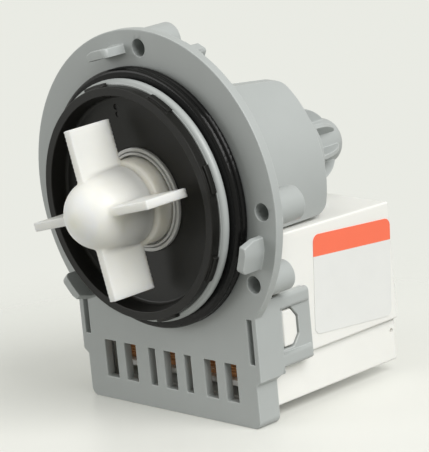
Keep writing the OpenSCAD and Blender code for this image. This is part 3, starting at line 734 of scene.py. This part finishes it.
class PUMP_OT_front_plate(bpy.types.Operator):
    """Builds the black dished plate and the rubber seal"""

    bl_idname = "pump.front_plate"
    bl_label = "Front plate and seal"

    def execute(self, context):
        rounded_piece(
            "front_plate", "dished_plate", black_plastic(), "black_plastic", sizes().plate_round
        )
        dress("seal_ring", seal_rubber())
        return {"FINISHED"}


class PUMP_OT_impeller(bpy.types.Operator):
    """Builds the impeller with soft edges and filleted vane roots"""

    bl_idname = "pump.impeller"
    bl_label = "Impeller"

    def execute(self, context):
        name = "soft_impeller"
        bm = merged_copy("impeller")
        mesh = bpy.data.meshes.new(name)
        bm.to_mesh(mesh)
        bm.free()
        piece = add_piece(name, mesh, [milky_plastic()], "impeller", "impeller_plastic", "impeller")
        grid = piece.modifiers.new("Grid", "REMESH")
        grid.mode = "VOXEL"
        grid.voxel_size = sizes().impeller_voxel
        relax = piece.modifiers.new("Relax", "SMOOTH")
        relax.iterations = sizes().impeller_relax
        shaped = piece.evaluated_get(context.evaluated_depsgraph_get())
        made = bpy.data.meshes.new_from_object(shaped)
        piece.modifiers.clear()
        piece.data = made
        self.fill_roots(made)
        made.shade_smooth()
        return {"FINISHED"}

    def fill_roots(self, mesh):
        """Fills in the corners where the vanes leave the hub; outward edges stay as they are."""
        places = np.empty(len(mesh.vertices) * 3)
        mesh.vertices.foreach_get("co", places)
        places = places.reshape(-1, 3)
        normals = np.empty(places.size)
        mesh.vertex_normals.foreach_get("vector", normals)
        normals = normals.reshape(-1, 3)
        ends = np.empty(len(mesh.edges) * 2, dtype=int)
        mesh.edges.foreach_get("vertices", ends)
        start, end = np.concatenate((ends.reshape(-1, 2), ends.reshape(-1, 2)[:, ::-1])).T
        degree = np.bincount(start, minlength=len(places))[:, None]
        across = np.hypot(places[:, 0], places[:, 2])
        along = places[:, 1]
        roots = (across > ROOTS_ACROSS[0]) & (across < ROOTS_ACROSS[1])
        roots &= (along > ROOTS_ALONG[0]) & (along < ROOTS_ALONG[1])
        for _ in range(sizes().root_fill):
            beside = [np.bincount(start, places[end, axis], len(places)) for axis in range(3)]
            sunk = ((np.stack(beside, 1) / degree - places) * normals).sum(1)
            places += np.where(roots & (sunk > 0), ROOT_SHARE * sunk, 0)[:, None] * normals
        mesh.vertices.foreach_set("co", places.ravel())
        mesh.update()


class PUMP_OT_rotor(bpy.types.Operator):
    """Finishes the rotor, its bearings and the start clutch"""

    bl_idname = "pump.rotor"
    bl_label = "Rotor and bearings"

    def execute(self, context):
        steel = metal("ground_steel", colours().steel, (0.18, 0.3), 900, stretch=(1, 40, 1))
        bronze = metal("sintered_bronze", colours().bronze, (0.4, 0.6), 3200, depth=0.02 * MM)
        ferrite = metal(
            "ferrite", colours().ferrite, (0.45, 0.62), 3600, depth=0.02 * MM, metallic=0.3
        )
        dress("shaft", steel)
        dress("rotor_magnet", ferrite)
        for node in ("front_bush", "rear_bush"):
            dress(node, bronze)
        for node in ("shaft_seal", "front_bush_holder", "rear_bush_holder"):
            dress(node, seal_rubber())
        for node in ("rotor_sleeve", "bush_retainer", "drive_dog"):
            dress(node, black_plastic())
        for node in ("front_thrust_washer", "rear_thrust_washer", "clutch_cover"):
            dress(node, white_plastic())
        return {"FINISHED"}


class PUMP_OT_stator(bpy.types.Operator):
    """Finishes the stator's steel stacks"""

    bl_idname = "pump.stator"
    bl_label = "Stator"

    def execute(self, context):
        for node in ("stator_pole_left", "stator_pole_right", "stator_yoke"):
            dress(node, stacked_steel())
        return {"FINISHED"}


class PUMP_OT_windings(bpy.types.Operator):
    """Winds each coil with close turns of wire on its core, between the bobbin's flanges"""

    bl_idname = "pump.windings"
    bl_label = "Windings and bobbins"

    def execute(self, context):
        for side in ("left", "right"):
            self.wind(context, side)
            rounded_piece(
                "bobbin_" + side, "bobbin_moulding_" + side, white_plastic(), "cover_plastic",
                sizes().small_round
            )
        return {"FINISHED"}

    def wind(self, context, side):
        """Makes one coil, which is its wire and the core under it."""
        wire = self.wire_mesh(context, side)
        name = "wound_coil_" + side
        bm = merged_copy("coil_core_" + side)
        bm.from_mesh(wire)
        bpy.data.meshes.remove(wire)
        add_piece(
            name, finished_mesh(bm, name), [varnished_copper()], "body", "copper_wire",
            "winding_" + side, "coil_core_" + side,
        )

    def wire_mesh(self, context, side):
        """One wire that climbs a pitch each turn round the core, as a mesh."""
        radius, pitch = sizes().wire / 2, sizes().wire_pitch
        core_low, core_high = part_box("coil_core_" + side)
        middle = (core_low + core_high) / 2
        half = (core_high - core_low) / 2 + Vector((radius, radius, 0))
        corner = COIL_CORNER + radius
        outline = []
        for quarter in range(4):
            away = math.pi / 4 + quarter * math.pi / 2
            centre = Vector((
                math.copysign(half.x - corner, math.cos(away)),
                math.copysign(half.y - corner, math.sin(away)),
                0,
            ))
            for step in range(COIL_CORNER_STEPS + 1):
                turn = (quarter + step / COIL_CORNER_STEPS) * math.pi / 2
                outline.append(centre + corner * Vector((math.cos(turn), math.sin(turn), 0)))
        turns = int((2 * half.z - 2 * radius) / pitch)
        line = bpy.data.curves.new("wire", "CURVE")
        line.dimensions = "3D"
        line.bevel_depth = radius
        line.bevel_resolution = 2
        line.use_fill_caps = True
        path = line.splines.new("POLY")
        count = turns * len(outline)
        path.points.add(count - 1)
        start = core_low.z + (2 * half.z - turns * pitch) / 2
        for i, point in enumerate(path.points):
            spot = outline[i % len(outline)]
            height = start + pitch * i / len(outline)
            point.co = (middle.x + spot.x, middle.y + spot.y, height, 1)
        holder = bpy.data.objects.new("wire", line)
        context.scene.collection.objects.link(holder)
        context.view_layer.update()
        wound = holder.evaluated_get(context.evaluated_depsgraph_get())
        mesh = bpy.data.meshes.new_from_object(wound)
        bpy.data.objects.remove(holder)
        bpy.data.curves.remove(line)
        return mesh


class PUMP_OT_cover(bpy.types.Operator):
    """Builds the white coil cover with soft edges"""

    bl_idname = "pump.cover"
    bl_label = "Coil cover"

    def execute(self, context):
        rounded_piece(
            "coil_cover", "cover_moulding", white_plastic(), "cover_plastic", sizes().cover_round,
            COVER_ROUND_STEPS, COVER_LEAST_EDGE, faces_along_axis
        )
        return {"FINISHED"}


class PUMP_OT_label(bpy.types.Operator):
    """Builds the label: a blank film with a coloured band along its top"""

    bl_idname = "pump.label"
    bl_label = "Label"

    def execute(self, context):
        low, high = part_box("rating_label")
        film = high.x - low.x
        reach_y, reach_z = high.y - low.y, high.z - low.z
        turn, cosine, sine = math.cos(2 * LABEL_TILT), math.cos(LABEL_TILT), math.sin(LABEL_TILT)
        width = (reach_y * cosine + reach_z * sine) / turn
        height = (reach_z * cosine + reach_y * sine) / turn
        bm = bmesh.new()
        bmesh.ops.create_grid(bm, x_segments=1, y_segments=1, size=0.5)
        bmesh.ops.scale(bm, vec=(width, height, 1), verts=bm.verts)
        bmesh.ops.bevel(
            bm, geom=bm.verts[:], offset=sizes().label_corner, offset_type="OFFSET",
            segments=LABEL_CORNER_STEPS, profile=0.5, affect="VERTICES", material=-1,
        )
        line = Vector((0, height / 2 - sizes().band_height, 0))
        whole = bm.verts[:] + bm.edges[:] + bm.faces[:]
        bmesh.ops.bisect_plane(bm, geom=whole, plane_co=line, plane_no=(0, 1, 0))
        for face in bm.faces:
            face.material_index = 1 if face.calc_center_median().y > line.y else 0
        raised = bmesh.ops.extrude_face_region(bm, geom=bm.faces[:])
        top = [v for v in raised["geom"] if isinstance(v, bmesh.types.BMVert)]
        bmesh.ops.translate(bm, vec=(0, 0, film), verts=top)
        bmesh.ops.recalc_face_normals(bm, faces=bm.faces)
        stand = Matrix(((0, 0, 1), (1, 0, 0), (0, 1, 0))).to_4x4()
        place = Matrix.Translation((low.x, (low.y + high.y) / 2, (low.z + high.z) / 2))
        lean = Matrix.Rotation(LABEL_TILT, 4, "X")
        bmesh.ops.transform(bm, matrix=place @ lean @ stand, verts=bm.verts)
        name = "blank_label"
        films = [
            printed_film("printed_film", colours().film),
            printed_film("printed_band", colours().band),
        ]
        add_piece(name, finished_mesh(bm, name), films, "body", "label_film", "rating_label")
        return {"FINISHED"}


class PUMP_OT_connections(bpy.types.Operator):
    """Finishes the terminals, their block, the cut-out and the leads"""

    bl_idname = "pump.connections"
    bl_label = "Connections"

    def execute(self, context):
        brass = metal("tinned_brass", colours().brass, (0.22, 0.36), 1400, stretch=(1, 12, 1))
        for side in ("left", "right"):
            rounded_piece(
                "terminal_" + side, "terminal_blade_" + side, brass, "terminal_brass",
                sizes().small_round / 2
            )
        rounded_piece(
            "terminal_block", "terminal_base", white_plastic(), "cover_plastic", sizes().small_round
        )
        rounded_piece(
            "thermal_cutout", "cutout_case", black_plastic(), "black_plastic", 2 * sizes().small_round
        )
        dress("lead_wires", lead_sleeve())
        return {"FINISHED"}


def seen_by_eye(tree):
    """1 where a surface is seen straight, mirrored or through glass, and 0 where it lights another."""
    rays = add_node(tree, "ShaderNodeLightPath")
    seen = maths(tree, "MAXIMUM", rays.outputs["Is Camera Ray"], rays.outputs["Is Glossy Ray"])
    return maths(tree, "MAXIMUM", seen, rays.outputs["Is Transmission Ray"])


class PUMP_OT_stage(bpy.types.Operator):
    """Builds the floor, the lights and the camera"""

    bl_idname = "pump.stage"
    bl_label = "Stage"

    def execute(self, context):
        stage = context.scene.pump_stage
        self.floor()
        self.light("side_softbox", *SIDE_LAMP, stage.side_light)
        self.light("left_softbox", *LEFT_LAMP, stage.left_light)
        self.light("top_softbox", *TOP_LAMP, stage.top_light)
        self.surroundings(context, stage.world)
        self.camera(context, stage)
        context.scene.view_settings.view_transform = "Standard"
        return {"FINISHED"}

    def floor(self):
        bm = bmesh.new()
        bmesh.ops.create_circle(bm, cap_ends=True, segments=96, radius=FLOOR_RADIUS)
        bmesh.ops.translate(bm, vec=(0, 0, CAD_BOX[0].z), verts=bm.verts)
        mesh = bpy.data.meshes.new("floor")
        bm.to_mesh(mesh)
        bm.free()
        material, tree, shader = new_material("pale_floor")
        place = add_node(tree, "ShaderNodeTexCoord").outputs["Object"]
        tone = colours().floor
        base = mix_colours(tree, noise(tree, place, 3, 2), shaded(tone, 0.99), shaded(tone, 1.01))
        base = mix_colours(tree, seen_by_eye(tree), colours().bounce, base)
        tree.links.new(base, shader.inputs["Base Color"])
        sheen = spread(tree, noise(tree, place, 40, 2), 0.3, 0.7, 0.3, 0.38)
        tree.links.new(sheen, shader.inputs["Roughness"])
        away = add_node(tree, "ShaderNodeVectorMath", operation="LENGTH")
        tree.links.new(place, away.inputs[0])
        fade = spread(tree, away.outputs["Value"], *FLOOR_FADE, 1, 0)
        tree.links.new(fade, shader.inputs["Alpha"])
        mesh.materials.append(material)
        floor = bpy.data.objects.new("floor", mesh)
        bpy.context.scene.collection.objects.link(floor)

    def light(self, name, place, aim, size, power):
        data = bpy.data.lights.new(name, "AREA")
        data.shape = "DISK"
        data.size = size
        data.energy = power
        lamp = bpy.data.objects.new(name, data)
        lamp.location = place
        lamp.rotation_euler = (Vector(aim) - Vector(place)).to_track_quat("-Z", "Y").to_euler()
        bpy.context.scene.collection.objects.link(lamp)

    def surroundings(self, context, strength):
        world = bpy.data.worlds.new("surroundings")
        world.use_nodes = True
        tree = world.node_tree
        sky = tree.nodes["Background"]
        sky.inputs["Color"].default_value = (*colours().sky, 1)
        tree.links.new(spread(tree, seen_by_eye(tree), 0, 1, strength, 1), sky.inputs["Strength"])
        context.scene.world = world

    def camera(self, context, stage):
        data = bpy.data.cameras.new("camera")
        data.lens = stage.lens
        data.clip_end = 50
        camera = bpy.data.objects.new("camera", data)
        place, aim = Vector(stage.camera_place), Vector(stage.camera_aim)
        camera.location = place
        look = (aim - place).to_track_quat("-Z", "Y")
        camera.rotation_mode = "QUATERNION"
        camera.rotation_quaternion = look @ Quaternion((0, 0, 1), stage.camera_roll)
        context.scene.collection.objects.link(camera)
        context.scene.camera = camera


OPERATORS = (
    PUMP_OT_body,
    PUMP_OT_front_plate,
    PUMP_OT_impeller,
    PUMP_OT_rotor,
    PUMP_OT_stator,
    PUMP_OT_windings,
    PUMP_OT_cover,
    PUMP_OT_label,
    PUMP_OT_connections,
    PUMP_OT_stage,
)


class PUMP_PT_sidebar(bpy.types.Panel):
    """Lists the steps that build the pump, and its sizes and colours"""

    bl_idname = "PUMP_PT_sidebar"
    bl_label = "Drain Pump"
    bl_space_type = "VIEW_3D"
    bl_region_type = "UI"
    bl_category = "Pump"

    def draw(self, context):
        for operator in OPERATORS:
            self.layout.operator(operator.bl_idname)
        for title, group in (
            ("Sizes", context.scene.pump_sizes),
            ("Colours", context.scene.pump_colours),
            ("Stage", context.scene.pump_stage),
        ):
            box = self.layout.box()
            box.label(text=title)
            for name in group.bl_rna.properties.keys():
                if name not in ("rna_type", "name"):
                    box.prop(group, name)


CLASSES = (PumpSizes, PumpColours, PumpStage, *OPERATORS, PUMP_PT_sidebar)


def register():
    for cls in CLASSES:
        bpy.utils.register_class(cls)
    bpy.types.Scene.pump_sizes = PointerProperty(type=PumpSizes)
    bpy.types.Scene.pump_colours = PointerProperty(type=PumpColours)
    bpy.types.Scene.pump_stage = PointerProperty(type=PumpStage)


def unregister():
    del bpy.types.Scene.pump_stage
    del bpy.types.Scene.pump_colours
    del bpy.types.Scene.pump_sizes
    for cls in reversed(CLASSES):
        bpy.utils.unregister_class(cls)


def main():
    register()
    bpy.ops.pump.body()
    bpy.ops.pump.front_plate()
    bpy.ops.pump.impeller()
    bpy.ops.pump.rotor()
    bpy.ops.pump.stator()
    bpy.ops.pump.windings()
    bpy.ops.pump.cover()
    bpy.ops.pump.label()
    bpy.ops.pump.connections()
    bpy.ops.pump.stage()


if __name__ == "__main__":
    main()
